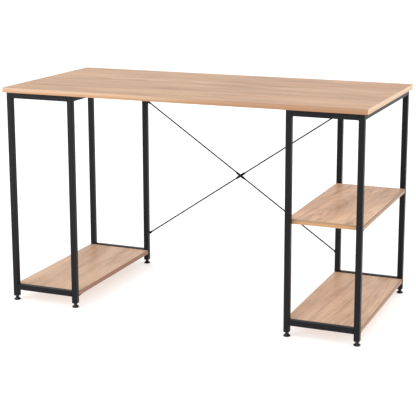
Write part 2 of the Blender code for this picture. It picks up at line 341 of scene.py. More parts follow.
class Wire:
    """One output of a node. Arithmetic on it adds Math nodes to its tree."""

    def __init__(self, tree, socket):
        self.tree = tree
        self.socket = socket

    def maths(self, operation, *values):
        return self.tree.node("ShaderNodeMath", {"operation": operation}, values)

    def __add__(self, other):
        return self.maths("ADD", self, other)

    def __sub__(self, other):
        return self.maths("SUBTRACT", self, other)

    def __mul__(self, other):
        return self.maths("MULTIPLY", self, other)

    def __truediv__(self, other):
        return self.maths("DIVIDE", self, other)

    def __radd__(self, other):
        return self.maths("ADD", other, self)

    def __rsub__(self, other):
        return self.maths("SUBTRACT", other, self)

    def __rmul__(self, other):
        return self.maths("MULTIPLY", other, self)

    def __rtruediv__(self, other):
        return self.maths("DIVIDE", other, self)

    def __abs__(self):
        return self.maths("ABSOLUTE", self)

    def fraction(self):
        return self.maths("FRACT", self)

    def sine(self):
        return self.maths("SINE", self)

    def cosine(self):
        return self.maths("COSINE", self)

    def root(self):
        return self.maths("SQRT", self)

    def least(self, other):
        return self.maths("MINIMUM", self, other)

    def most(self, other):
        return self.maths("MAXIMUM", self, other)


class Wiring:
    """A node tree that grows by calls. Each call sets a node's settings first, then its sockets."""

    COLUMNS = 9

    def __init__(self, tree):
        self.tree = tree

    def node(self, kind, settings=None, sockets=(), output=0):
        made = self.tree.nodes.new(kind)
        row, column = divmod(len(self.tree.nodes), self.COLUMNS)
        made.location = (column * 220, -row * 320)
        for key, value in (settings or {}).items():
            if key == "stops":
                self.set_stops(made.color_ramp, value)
            elif key == "items":
                for _ in range(value - len(made.index_switch_items)):
                    made.index_switch_items.new()
            else:
                setattr(made, key, value)
        pairs = sockets.items() if isinstance(sockets, dict) else enumerate(sockets)
        for key, value in pairs:
            if isinstance(value, Wire):
                self.tree.links.new(value.socket, made.inputs[key])
            else:
                made.inputs[key].default_value = value
        return Wire(self, made.outputs[output]) if len(made.outputs) else made

    @staticmethod
    def set_stops(ramp, stops):
        while len(ramp.elements) > 1:
            ramp.elements.remove(ramp.elements[-1])
        for i, (position, grey) in enumerate(stops):
            stop = ramp.elements[0] if i == 0 else ramp.elements.new(position)
            stop.position = position
            stop.color = (grey, grey, grey, 1)

    def vector(self, x, y, z):
        return self.node("ShaderNodeCombineXYZ", None, (x, y, z))


class Finish(Wiring):
    """A material being made, in the desk's own coordinates."""

    def __init__(self, name):
        self.material = bpy.data.materials.new(name)
        self.material.use_nodes = True
        super().__init__(self.material.node_tree)
        self.tree.nodes.clear()
        self.place = self.node("ShaderNodeTexCoord", output="Object")

    def axes(self):
        split = self.tree.nodes.new("ShaderNodeSeparateXYZ")
        self.tree.links.new(self.place.socket, split.inputs[0])
        return [Wire(self, output) for output in split.outputs]

    def noise(self, vector, scale=1.0, detail=2.0, roughness=0.5, distortion=0.0):
        sockets = {
            "Vector": vector,
            "Scale": scale,
            "Detail": detail,
            "Roughness": roughness,
            "Distortion": distortion,
        }
        return self.node("ShaderNodeTexNoise", {"noise_dimensions": "3D"}, sockets)

    def ramp(self, value, stops):
        ramp = self.node("ShaderNodeValToRGB", {"stops": stops}, (value,))
        ramp.socket.node.color_ramp.interpolation = "EASE"
        return ramp

    def rescale(self, value, low, high, to_low=0.0, to_high=1.0):
        settings = {"interpolation_type": "SMOOTHSTEP"}
        return self.node("ShaderNodeMapRange", settings, (value, low, high, to_low, to_high))

    def mix(self, factor, first, second):
        settings = {"data_type": "RGBA", "blend_type": "MIX", "clamp_factor": True}
        return self.node("ShaderNodeMix", settings, {0: factor, 6: first, 7: second}, 2)

    def surface(self, colour, roughness, height=None, bump_distance=0.0, **fixed):
        """The finished material. Fixed values are named as the shader's sockets are."""
        sockets = {"Base Color": colour, "Roughness": roughness}
        if height is not None:
            bump = {"Strength": 1.0, "Distance": bump_distance, "Height": height}
            sockets["Normal"] = self.node("ShaderNodeBump", None, bump)
        sockets.update({key.replace("_", " "): value for key, value in fixed.items()})
        shader = self.node("ShaderNodeBsdfPrincipled", None, sockets)
        self.node("ShaderNodeOutputMaterial", None, {"Surface": shader})
        return self.material


class Growth(Wiring):
    """A Geometry Nodes tree being made, with named inputs for its sizes."""

    def __init__(self, name, sizes):
        group = bpy.data.node_groups.new(name, "GeometryNodeTree")
        group.interface.new_socket("Geometry", in_out="INPUT", socket_type="NodeSocketGeometry")
        for label, value in sizes.items():
            entry = group.interface.new_socket(label, in_out="INPUT", socket_type="NodeSocketFloat")
            entry.default_value = value
        group.interface.new_socket("Geometry", in_out="OUTPUT", socket_type="NodeSocketGeometry")
        super().__init__(group)
        self.sizes = sizes
        self.entries = group.nodes.new("NodeGroupInput")

    def size(self, label):
        return Wire(self, self.entries.outputs[label])

    def pick(self, row, values):
        settings = {"data_type": "FLOAT", "items": len(values)}
        return self.node("GeometryNodeIndexSwitch", settings, (row, *values))

    def turned(self, profile, points):
        """A closed solid turned round Z, from (radius, height) pairs that start and end on it."""
        rows = len(profile)
        sockets = {"Vertices X": points + 1, "Vertices Y": rows}
        grid = self.node("GeometryNodeMeshGrid", None, sockets)
        index = self.node("GeometryNodeInputIndex")
        row = self.node("FunctionNodeIntegerMath", {"operation": "MODULO"}, (index, rows))
        column = self.node("FunctionNodeIntegerMath", {"operation": "DIVIDE_FLOOR"}, (index, rows))
        turn = column * (2 * math.pi / points)
        radius = self.pick(row, [pair[0] for pair in profile])
        height = self.pick(row, [pair[1] for pair in profile])
        place = self.vector(radius * turn.cosine(), radius * turn.sine(), height)
        shaped = self.node("GeometryNodeSetPosition", None, {"Geometry": grid, "Position": place})
        sockets = {"Geometry": shaped, "Distance": MERGE_DISTANCE}
        return self.node("GeometryNodeMergeByDistance", None, sockets)

    def moved(self, geometry, translation=(0, 0, 0), rotation=(0, 0, 0)):
        sockets = {"Geometry": geometry, "Translation": translation, "Rotation": rotation}
        return self.node("GeometryNodeTransform", None, sockets)

    def joined(self, *parts):
        join = self.tree.nodes.new("GeometryNodeJoinGeometry")
        for part in parts:
            self.tree.links.new(part.socket, join.inputs[0])
        return Wire(self, join.outputs[0])

    def on_points(self, piece):
        """The piece on every point of the starting mesh, its Z along the point's facing."""
        settings = {"data_type": "FLOAT_VECTOR"}
        facing = self.node("GeometryNodeInputNamedAttribute", settings, {"Name": "facing"})
        turn = self.node("FunctionNodeAlignRotationToVector", {"axis": "Z"}, {"Vector": facing})
        sockets = {"Points": self.size("Geometry"), "Instance": piece, "Rotation": turn}
        return self.node("GeometryNodeInstanceOnPoints", None, sockets)

    def grow(self, name, start, geometry, material):
        """The tree's result as a finished object whose mesh is plain."""
        real = self.node("GeometryNodeRealizeInstances", None, {"Geometry": geometry})
        sockets = {"Geometry": real, "Material": material}
        dressed = self.node("GeometryNodeSetMaterial", None, sockets)
        self.node("NodeGroupOutput", None, {"Geometry": dressed})
        piece = bpy.data.objects.new(name, start)
        bpy.context.scene.collection.objects.link(piece)
        modifier = piece.modifiers.new("growth", "NODES")
        modifier.node_group = self.tree
        for item in self.tree.interface.items_tree:
            if item.item_type == "SOCKET" and item.in_out == "INPUT" and item.name in self.sizes:
                modifier[item.identifier] = self.sizes[item.name]
        graph = bpy.context.evaluated_depsgraph_get()
        mesh = bpy.data.meshes.new_from_object(piece.evaluated_get(graph), depsgraph=graph)
        piece.modifiers.clear()
        piece.data = mesh
        if not len(mesh.polygons):
            raise RuntimeError(f"{name} came out empty")
        tidy_mesh(mesh)
        return piece


# Meshes


def tidy_mesh(mesh):
    """Merged points, outward faces and smooth shading between sharp edges."""
    bm = bmesh.new()
    bm.from_mesh(mesh)
    bmesh.ops.remove_doubles(bm, verts=bm.verts, dist=MERGE_DISTANCE)
    bmesh.ops.recalc_face_normals(bm, faces=bm.faces)
    bm.to_mesh(mesh)
    bm.free()
    mesh.shade_smooth()
    mesh.set_sharp_from_angle(angle=SMOOTH_ANGLE)


def add_piece(name, mesh, *materials):
    """An object for the mesh, with the materials in their slots' order."""
    for material in materials:
        mesh.materials.append(material)
    piece = bpy.data.objects.new(name, mesh)
    bpy.context.scene.collection.objects.link(piece)
    return piece


def flat_faced(piece):
    """Smooth shading that keeps large flat faces flat beside their round corners."""
    piece.data.shade_smooth()
    piece.data.set_sharp_from_angle(angle=SMOOTH_ANGLE)
    weighted = piece.modifiers.new("flat_faces", "WEIGHTED_NORMAL")
    weighted.keep_sharp = True
    graph = bpy.context.evaluated_depsgraph_get()
    piece.data = bpy.data.meshes.new_from_object(piece.evaluated_get(graph), depsgraph=graph)
    piece.modifiers.clear()
    return piece


def smooth_copy(node, name, material):
    """A merged, smooth-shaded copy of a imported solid."""
    source = frame["nodes"][node].data
    corners = [tuple(vertex.co) for vertex in source.vertices]
    mesh = bpy.data.meshes.new(name)
    mesh.from_pydata(corners, [], [tuple(face.vertices) for face in source.polygons])
    bm = bmesh.new()
    bm.from_mesh(mesh)
    bmesh.ops.remove_doubles(bm, verts=bm.verts, dist=MERGE_DISTANCE)
    bmesh.ops.dissolve_degenerate(bm, edges=bm.edges, dist=MERGE_DISTANCE)
    bm.to_mesh(mesh)
    bm.free()
    return flat_faced(add_piece(name, mesh, material))


def hand_over(piece, body, slot, *nodes):
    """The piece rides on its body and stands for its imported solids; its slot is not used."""
    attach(piece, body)
    if nodes:
        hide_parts(*nodes)


def points_mesh(name, places, facing):
    """Loose points with the direction that a screw's head faces on each."""
    mesh = bpy.data.meshes.new(name)
    mesh.from_pydata([tuple(place) for place in places], [], [])
    attribute = mesh.attributes.new("facing", "FLOAT_VECTOR", "POINT")
    for item in attribute.data:
        item.vector = facing
    return mesh


def paths_mesh(name, paths):
    """Straight paths as loose edges."""
    corners, edges = [], []
    for start, end in paths:
        edges.append((len(corners), len(corners) + 1))
        corners += [tuple(start), tuple(end)]
    mesh = bpy.data.meshes.new(name)
    mesh.from_pydata(corners, edges, [])
    return mesh


# Finishes

GRAIN_DRIFT = 0.034  # how far the grain wanders sideways
HEART_DEPTH = 0.06  # how far the log's heart lies under the board's face
RING_WOBBLE = 0.010
RINGS_PER_METRE = 105.0
LATE_WOOD = ((0.0, 0.10), (0.45, 0.22), (0.82, 1.0), (0.93, 0.75), (1.0, 0.10))

BOARD_BUMP = 0.00012
BAND_BUMP = 0.00006
COAT_BUMP = 0.00008
PLATING_BUMP = 0.00004
PLASTIC_BUMP = 0.00003

RUBBED_COAT = (0.07, 0.07, 0.075)
ZINC_DARK = (0.030, 0.030, 0.034)
ZINC_WORN = (0.16, 0.16, 0.17)


def tinted(colour, gain=1.0):
    """The colour with full alpha, brightened by one gain or by one for each channel."""
    gains = gain if isinstance(gain, tuple) else (gain,) * 3
    return (*(value * each for value, each in zip(colour, gains)), 1.0)


def oak(name, colours, grain_axis, heart, lean, seed, contrast, skew=0.0, flecks=0.15, tint_and_painted_light=1.0):
    """Oak-effect laminate: a board sawn from a leaning log, with streaks, flecks and pores.

    The heart is where the log's middle crosses the board, lean is the log's slope under it, and
    skew is the slope of the grain across it.
    """
    finish = Finish(name)
    x, y, z = finish.axes()
    along, across = (x, y) if grain_axis == "X" else (y, x)
    across = across + along * skew
    drift = finish.noise(finish.vector(along * 1.3 + seed, across * 2.2, z), detail=2.0)
    across = across + (drift - 0.5) * GRAIN_DRIFT

    # Growth rings where the board's face cuts a leaning log
    wobble = finish.noise(finish.vector(along * 3.5, across * 26.0, seed), detail=3.0)
    depth = HEART_DEPTH + along * lean + (wobble - 0.5) * RING_WOBBLE
    offset = across - heart
    radius = (offset * offset + depth * depth).root()
    ring = (radius * RINGS_PER_METRE + (wobble - 0.5) * 0.9).fraction()
    late = finish.ramp(ring, LATE_WOOD)

    # Patterns stretched along the grain, from slow zones to fine dark pores
    zone = finish.noise(finish.vector(along * 0.8 + seed, across * 6.0, z), detail=1.5)
    band_place = finish.vector(along * 3.2 - seed, across * 21.0, seed)
    band = finish.noise(band_place, detail=3.0, roughness=0.60)
    streak_place = finish.vector(along * 2.0, across * 75.0, seed)
    streak = finish.noise(streak_place, detail=4.0, roughness=0.62)
    fibre_place = finish.vector(along * 9.0, across * 520.0, z * 80.0 + seed)
    fibre = finish.noise(fibre_place, detail=2.0)
    fleck = finish.noise(finish.vector(along * 13.0, across * 130.0, seed + 5.0), detail=3.0)
    pore_field = finish.noise(finish.vector(along * 42.0, across * 950.0, seed), detail=1.0)
    pore = finish.rescale(pore_field, 0.60, 0.70) * (1.0 - late * 0.55)

    light = finish.rescale(zone * 0.30 + band * 0.45 + streak * 0.25, 0.40, 0.60)
    shadow = finish.rescale(band * 0.6 + streak * 0.4, 0.50, 0.32)
    dark = (late * 0.24 + shadow * 0.46 + finish.rescale(fleck, 0.56, 0.72) * flecks) * contrast
    dark = dark + (fibre - 0.5) * 0.22
    # The tint sets the board's own tone; on the shelves it also adds painted light
    middle_tone, light_tone = tinted(colours.oak_middle, tint_and_painted_light), tinted(colours.oak_light, tint_and_painted_light)
    ground = finish.mix(light, middle_tone, light_tone)
    toned = finish.mix(dark.most(0.0).least(1.0), ground, tinted(colours.oak_dark))
    colour = finish.mix(pore * 0.42, toned, tinted(colours.oak_dark, 0.62))
    roughness = finish.rescale(streak + pore * 0.2, 0.3, 0.8, 0.36, 0.50)
    height = fibre * 0.25 + streak * 0.35 - pore * 0.9
    return finish.surface(colour, roughness, height, BOARD_BUMP, Specular_IOR_Level=0.3)


def edge_band(name, colours, node, tones, painted_shade_along=0.0):
    """Printed edge band: streaks along the board's edge, from its upper to its lower tone.

    Given a shade along it, the band also darkens towards the board's right end, as painted shade.
    """
    finish = Finish(name)
    x, y, z = finish.axes()
    low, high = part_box(node)
    mid_height = ((low + high) / 2).z
    along = x + y
    streak_place = finish.vector(along * 3.0, z * 420.0, z * 3.0)
    streak = finish.noise(streak_place, detail=4.0, roughness=0.6)
    patch = finish.noise(finish.vector(along * 2.4, z * 60.0, 3.7), detail=2.0)
    fibre = finish.noise(finish.vector(along * 30.0, z * 1500.0, 1.3), detail=2.0)
    below = finish.rescale(z, mid_height + 0.005, mid_height - 0.006)
    lower = finish.rescale(patch * 0.6 + (streak - 0.5) * 0.8 + below * 0.4, 0.38, 0.62)
    ground = finish.mix(lower, *map(tinted, tones))
    # Painted shade: the band darkens towards the board's right end.
    if painted_shade_along:
        shade = finish.rescale(x, -0.30, 0.30, 0.0, painted_shade_along)
        ground = finish.mix(shade, ground, tinted(colours.oak_dark))
    dark = (streak - 0.45).most(0.0) * 0.9 + (fibre - 0.5).most(0.0) * 0.5
    colour = finish.mix(dark.least(1.0), ground, tinted(colours.oak_dark))
    height = streak * 0.5 + fibre * 0.5
    roughness = finish.rescale(streak, 0.3, 0.7, 0.36, 0.48)
    return finish.surface(colour, roughness, height, BAND_BUMP, Specular_IOR_Level=0.3)


def powder_coat(name, colours, shade=1.0, gloss=0.10):
    """Fine orange-peel powder coat with faint handling marks."""
    finish = Finish(name)
    peel = finish.noise(finish.place, 900.0, 2.0)
    grit = finish.noise(finish.place, 3200.0, 2.0)
    cloud = finish.noise(finish.place, 14.0, 3.0)
    mark = finish.rescale(finish.noise(finish.place, 60.0, 6.0, 0.7, 0.6), 0.62, 0.74)
    # A shade below one darkens the whole coat, as painted shade
    coat = tinted(colours.steel_coat, shade)
    pale = tinted(colours.steel_coat, 1.7 * shade)
    colour = finish.mix(cloud * 0.5 + grit * 0.35, coat, pale)
    colour = finish.mix(mark * 0.22, colour, tinted(RUBBED_COAT))
    roughness = 0.40 + (cloud - 0.5) * 0.10 + (grit - 0.5) * 0.10 - mark * 0.05
    height = peel * 0.7 + grit * 0.3
    return finish.surface(colour, roughness, height, COAT_BUMP, Specular_IOR_Level=gloss)


def moulded_plastic(name, colours):
    """Glossy moulded plastic with a faint spark-eroded texture and flow marks."""
    finish = Finish(name)
    spark = finish.noise(finish.place, 2600.0, 2.0)
    flow = finish.noise(finish.place, 90.0, 3.0, 0.5, 1.2)
    colour = finish.mix(flow * 0.6, tinted(colours.plastic), tinted(colours.plastic, 2.2))
    roughness = 0.12 + flow * 0.10 + spark * 0.04
    height = spark * 0.6 + flow * 0.4
    return finish.surface(colour, roughness, height, PLASTIC_BUMP, Specular_IOR_Level=0.3)


def black_zinc(name, colours):
    """Black zinc plating: dark metal with brighter worn crests."""
    finish = Finish(name)
    cloud = finish.noise(finish.place, 700.0, 3.0)
    turning = finish.noise(finish.place, 3800.0, 2.0)
    worn = finish.rescale(cloud + (turning - 0.5) * 0.4, 0.60, 0.78)
    colour = finish.mix(worn * 0.5, tinted(ZINC_DARK), tinted(ZINC_WORN))
    return finish.surface(colour, 0.34 + cloud * 0.16, turning, PLATING_BUMP, Metallic=1.0)


SHARED_FINISHES = {
    "powder_coated_steel": powder_coat,
    "moulded_black_plastic": moulded_plastic,
    "black_zinc_plating": black_zinc,
}


def shared_finish(name):
    """A finish that several operators use, made on first use."""
    found = bpy.data.materials.get(name)
    return found or SHARED_FINISHES[name](name, bpy.context.scene.desk.colours)


# Boards

# How each board is sawn from its log, and how strong its figure is
DESKTOP_CUT = {
    "heart": 0.06,
    "lean": 0.055,
    "seed": 4.0,
    "contrast": 1.7,
    "tint_and_painted_light": (0.94, 0.865, 0.765),
}
# Each shelf's tint lifts its colour above the desktop's: its own tone, plus painted light that makes up
# for the shade under the desktop
SHELF_CUTS = {
    "left_bottom_shelf": {
        "heart": -0.45,
        "lean": 0.05,
        "seed": 11.0,
        "contrast": 0.8,
        "skew": 0.03,
        "flecks": 0.20,
        "tint_and_painted_light": (1.04, 1.09, 1.17),
    },
    "right_bottom_shelf": {
        "heart": 0.55,
        "lean": 0.09,
        "seed": 23.0,
        "contrast": 1.0,
        "skew": -0.05,
        "flecks": 0.40,
        "tint_and_painted_light": (1.10, 1.17, 1.26),
    },
    "right_middle_shelf": {
        "heart": 0.47,
        "lean": 0.12,
        "seed": 37.0,
        "contrast": 1.1,
        "skew": -0.10,
        "flecks": 0.44,
        "tint_and_painted_light": (1.44, 1.51, 1.62),
    },
}

# The upper and the lower tone of each printed edge band. They hold the band's own colour, set paler on
# the desktop's ends as painted light and darker on the shelves' sides as painted shade.
DESKTOP_LONG_TONES = ((0.51, 0.34, 0.222), (0.43, 0.24, 0.127))
DESKTOP_END_PAINTED_LIGHT_TONES = ((0.66, 0.475, 0.32), (0.57, 0.39, 0.245))
# Strength of the painted shade that darkens the desktop's long band towards its right end
DESKTOP_LONG_PAINTED_SHADE = 0.75
SHELF_FRONT_TONES = ((0.33, 0.205, 0.122), (0.47, 0.260, 0.122))
SHELF_SIDE_PAINTED_SHADE_TONES = {
    "left_bottom_shelf": ((0.27, 0.125, 0.080), (0.31, 0.150, 0.095)),
    "right_bottom_shelf": ((0.24, 0.125, 0.080), (0.38, 0.215, 0.130)),
    "right_middle_shelf": ((0.24, 0.130, 0.078), (0.44, 0.260, 0.145)),
}

LEVEL_FACE = 0.999  # least upward or downward share of a large face's normal
LARGE_FACE = 0.01  # least area of the board's top or underside


def board_mesh(name, low, high, sizes):
    """An edge-banded board: round arrises, a glue line round each face, then the laminate."""
    bm = bmesh.new()
    bmesh.ops.create_cube(bm, size=1)
    bmesh.ops.scale(bm, vec=high - low, verts=bm.verts)
    bmesh.ops.translate(bm, vec=(high + low) / 2, verts=bm.verts)
    edges = bm.edges[:]
    bmesh.ops.bevel(bm, geom=edges, offset=sizes.arris, segments=4, profile=0.5, affect="EDGES")
    bm.faces.ensure_lookup_table()
    level = [face for face in bm.faces if abs(face.normal.z) > LEVEL_FACE]
    faces = [face for face in level if face.calc_area() > LARGE_FACE]
    border, half_groove = sizes.band - sizes.arris, sizes.groove / 2
    bmesh.ops.inset_region(bm, faces=faces, thickness=border, depth=0)
    for depth in (-sizes.groove_depth, sizes.groove_depth):
        bmesh.ops.inset_region(bm, faces=faces, thickness=half_groove, depth=depth)
    laminate = set(faces)
    for face in bm.faces:
        centre = face.calc_center_median()
        near_end = min(centre.x - low.x, high.x - centre.x) < sizes.band
        face.material_index = 0 if face in laminate else (2 if near_end else 1)
    mesh = bpy.data.meshes.new(name)
    bm.to_mesh(mesh)
    bm.free()
    return mesh


def add_board(node, *materials):
    """A board in its packed place: its laminate, its long or front band, and its end band."""
    name = f"{node}_board"
    mesh = board_mesh(name, *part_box(node), bpy.context.scene.desk.boards)
    hand_over(flat_faced(add_piece(name, mesh, *materials)), "root", "wood_panel", node)


class DESK_OT_desktop(bpy.types.Operator):
    """Make the desktop: an edge-banded oak-effect board"""

    bl_idname = "desk.desktop"
    bl_label = "Desktop"
    bl_options = {"REGISTER", "UNDO"}

    def execute(self, context):
        colours = context.scene.desk.colours
        add_board(
            "desktop",
            oak("desktop_oak", colours, "X", **DESKTOP_CUT),
            edge_band(
                "desktop_long_band", colours, "desktop", DESKTOP_LONG_TONES, DESKTOP_LONG_PAINTED_SHADE
            ),
            edge_band("desktop_end_band", colours, "desktop", DESKTOP_END_PAINTED_LIGHT_TONES),
        )
        return {"FINISHED"}


class DESK_OT_shelves(bpy.types.Operator):
    """Make the three shelves, with their grain from front to back"""

    bl_idname = "desk.shelves"
    bl_label = "Shelves"
    bl_options = {"REGISTER", "UNDO"}

    def execute(self, context):
        colours = context.scene.desk.colours
        for node in SHELVES:
            add_board(
                node,
                oak(f"{node}_oak", colours, "Y", **SHELF_CUTS[node]),
                edge_band(f"{node}_front_band", colours, node, SHELF_FRONT_TONES),
                edge_band(f"{node}_side_band", colours, node, SHELF_SIDE_PAINTED_SHADE_TONES[node]),
            )
        return {"FINISHED"}


# Steel

STEEL_ENDINGS = ("_leg", "_rail", "_tab")
WELD_INSET = 2.2  # distance from a rail's side to its bead's end, in bead radii
STEPS_PER_RIPPLE = 6.0
BEAD_SIDES = 10


class DESK_OT_steel_frame(bpy.types.Operator):
    """Make the powder-coated legs, rails and shelf tabs"""

    bl_idname = "desk.steel_frame"
    bl_label = "Steel frame"
    bl_options = {"REGISTER", "UNDO"}

    def execute(self, context):
        coat = shared_finish("powder_coated_steel")
        for node in sorted(name for name in frame["nodes"] if name.endswith(STEEL_ENDINGS)):
            piece = smooth_copy(node, f"{node}_coated", coat)
            hand_over(piece, "root", "black_frame", node)
        return {"FINISHED"}


def weld_paths(radius):
    """Where a rail or tab meets a leg in an inner corner: short paths along that corner."""
    paths = []
    inset = WELD_INSET * radius
    for side in SIDES:
        for row in ROWS:
            for level in ("top", "bottom"):
                low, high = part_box(f"{side}_{row}_{level}_rail")
                heights = (low.z,) if level == "top" else (low.z, high.z)
                for z in heights:
                    for x in (low.x, high.x):
                        paths.append(((x, low.y + inset, z), (x, high.y - inset, z)))
        for place in PLACES:
            low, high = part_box(f"{side}_{place}_side_rail")
            for y in (low.y, high.y):
                paths.append(((low.x + inset, y, low.z), (high.x - inset, y, low.z)))
    for shelf in SHELVES:
        for row in ROWS:
            for place in PLACES:
                low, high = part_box(f"{shelf}_{row}_{place}_tab")
                y = low.y if row == "front" else high.y
                paths.append(((low.x + radius, y, low.z), (high.x - radius, y, low.z)))
    return paths


class DESK_OT_welds(bpy.types.Operator):
    """Lay a rippled weld bead in each inner corner of the frame"""

    bl_idname = "desk.welds"
    bl_label = "Weld beads"
    bl_options = {"REGISTER", "UNDO"}

    def execute(self, context):
        welds = context.scene.desk.welds
        sizes = {"Radius": welds.radius, "Pitch": welds.ripple_pitch, "Ripple": welds.ripple}
        tree = Growth("weld_bead", sizes)
        line = tree.node("GeometryNodeMeshToCurve", None, (tree.size("Geometry"),))
        steps = {"Curve": line, "Length": tree.size("Pitch") / STEPS_PER_RIPPLE}
        line = tree.node("GeometryNodeResampleCurve", {"mode": "LENGTH"}, steps)
        share = tree.node("GeometryNodeSplineParameter", output="Factor")
        run = tree.node("GeometryNodeSplineParameter", output="Length")
        taper = (share.least(1.0 - share) * 9.0 + 0.25).least(1.0)
        ripple = abs((run / tree.size("Pitch") * math.pi).sine())
        lumps = {"Scale": 300.0, "Detail": 1.0}
        uneven = tree.node("ShaderNodeTexNoise", {"noise_dimensions": "3D"}, lumps)
        swell = taper * (0.80 + ripple * tree.size("Ripple") + uneven * 0.35)
        ring = {"Resolution": BEAD_SIDES, "Radius": tree.size("Radius")}
        section = tree.node("GeometryNodeCurvePrimitiveCircle", None, ring)
        sockets = {"Curve": line, "Profile Curve": section, "Scale": swell, "Fill Caps": True}
        bead = tree.node("GeometryNodeCurveToMesh", None, sockets)
        start = paths_mesh("weld_paths", weld_paths(welds.radius))
        piece = tree.grow("frame_weld_beads", start, bead, shared_finish("powder_coated_steel"))
        hand_over(piece, "root", "black_frame")
        return {"FINISHED"}


# Screws

# Radius and length of each kind's shank
SHELF_SHANK = (0.0019, 0.013)
DESKTOP_SHANK = (0.0019, 0.030)
BRACE_SHANK = (0.0021, 0.011)

# The head's outline from its crown to its rim, in shares of its radius and height
HEAD_OUTLINE = ((0.30, 0.985), (0.55, 0.93), (0.76, 0.82), (0.90, 0.64), (0.98, 0.40), (1.0, 0.20))
HEXAGON_SHARE = 0.41  # corner radius of a hexagon socket, in recess widths
SCREW_SIDES = 32

TAB_HOLE_REACH = 0.013  # from a tab's leg to its hole
RAIL_SCREW_MARGIN = 0.060  # from a side rail's end to its first screw


def screw_tree(name, screws, shank_size, socket="cross"):
    """A screw with a cross or hexagon socket, its head above z = 0 and its shank below."""
    tree = Growth(
        name,
        {
            "Head Radius": screws.head_radius,
            "Head Height": screws.head_height,
            "Shank Radius": shank_size[0],
            "Shank Length": shank_size[1],
            "Recess Width": screws.recess_width,
            "Recess Slot": screws.recess_slot,
            "Recess Depth": screws.recess_depth,
        },
    )
    radius, height = tree.size("Head Radius"), tree.size("Head Height")
    shank, length = tree.size("Shank Radius"), tree.size("Shank Length")
    profile = [(0.0, height)]
    profile += [(radius * share_out, height * share_up) for share_out, share_up in HEAD_OUTLINE]
    profile += [(radius * 0.98, 0.0), (shank, 0.0), (shank, length * -0.8), (0.0, length * -1.0)]
    body = tree.turned(profile, SCREW_SIDES)
    width, depth = tree.size("Recess Width"), tree.size("Recess Depth") * 2.0
    if socket == "hexagon":
        sizes = {"Vertices": 6, "Radius": width * HEXAGON_SHARE, "Depth": depth}
        tools = [(tree.node("GeometryNodeMeshCylinder", None, sizes), 0.0)]
    else:
        size = tree.vector(width, tree.size("Recess Slot"), depth)
        blade = tree.node("GeometryNodeMeshCube", None, {"Size": size})
        tools = [(blade, 0.0), (blade, math.pi / 2)]
    cut = tree.node("GeometryNodeMeshBoolean", {"operation": "DIFFERENCE"}, {"Mesh 1": body})
    for tool, turn in tools:
        placed = tree.moved(tool, tree.vector(0.0, 0.0, height), (0.0, 0.0, turn))
        tree.tree.links.new(placed.socket, cut.socket.node.inputs["Mesh 2"])
    return tree, cut


def tab_screw_places():
    """Under each tab, at its hole."""
    places = []
    for shelf in SHELVES:
        for row in ROWS:
            for place in PLACES:
                low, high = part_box(f"{shelf}_{row}_{place}_tab")
                y = low.y + TAB_HOLE_REACH if row == "front" else high.y - TAB_HOLE_REACH
                places.append(((low.x + high.x) / 2, y, low.z))
    return places


def rail_screw_places():
    """Under each side rail: two screws near its ends and one midway."""
    places = []
    for side in SIDES:
        for place in PLACES:
            low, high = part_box(f"{side}_{place}_side_rail")
            ends = (low.y + RAIL_SCREW_MARGIN, high.y - RAIL_SCREW_MARGIN)
            for y in (ends[0], (low.y + high.y) / 2, ends[1]):
                places.append(((low.x + high.x) / 2, y, low.z))
    return places


class DESK_OT_screws(bpy.types.Operator):
    """Drive the screws that hold the shelves and the desktop from below"""

    bl_idname = "desk.screws"
    bl_label = "Board screws"
    bl_options = {"REGISTER", "UNDO"}

    def execute(self, context):
        screws = context.scene.desk.screws
        zinc = shared_finish("black_zinc_plating")
        for name, places, shank_size in (
            ("shelf_screws", tab_screw_places(), SHELF_SHANK),
            ("desktop_screws", rail_screw_places(), DESKTOP_SHANK),
        ):
            tree, screw = screw_tree(name, screws, shank_size)
            start = points_mesh(f"{name}_places", places, (0, 0, -1))
            piece = tree.grow(name, start, tree.on_points(screw), zinc)
            hand_over(piece, "root", "black_screw")
        return {"FINISHED"}


# Brace

# The rods wear the frame's coat, made darker and less glossy; the darkening is painted shade
ROD_PAINTED_SHADE = 0.5
ROD_GLOSS = 0.06
ROD_NODES = ("brace_rod_falling", "brace_rod_rising")
BOLT_NODES = tuple(f"brace_screw_{side}_{level}" for side in SIDES for level in ("top", "bottom"))
BOLT_NODES += ("brace_centre_bolt",)


class DESK_OT_brace(bpy.types.Operator):
    """Make the two crossed rods with their screws, bolt and nut"""

    bl_idname = "desk.brace"
    bl_label = "Crossed rods"
    bl_options = {"REGISTER", "UNDO"}

    def execute(self, context):
        colours, screws = context.scene.desk.colours, context.scene.desk.screws
        coat = powder_coat("powder_coated_rod", colours, ROD_PAINTED_SHADE, ROD_GLOSS)
        for node in ROD_NODES:
            piece = smooth_copy(node, f"{node}_coated", coat)
            hand_over(piece, "root", "black_frame", node)
        zinc = shared_finish("black_zinc_plating")
        places = []
        for node in BOLT_NODES:
            low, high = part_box(node)
            y = high.y - screws.head_height
            places.append(((low.x + high.x) / 2, y, (low.z + high.z) / 2))
        tree, screw = screw_tree("brace_screws", screws, BRACE_SHANK, socket="hexagon")
        start = points_mesh("brace_screw_places", places, (0, 1, 0))
        piece = tree.grow("brace_screw_set", start, tree.on_points(screw), zinc)
        hand_over(piece, "root", "black_screw", *BOLT_NODES)
        nut = smooth_copy("brace_centre_nut", "brace_centre_nut_plated", zinc)
        hand_over(nut, "root", "black_screw", "brace_centre_nut")
        return {"FINISHED"}


# Feet

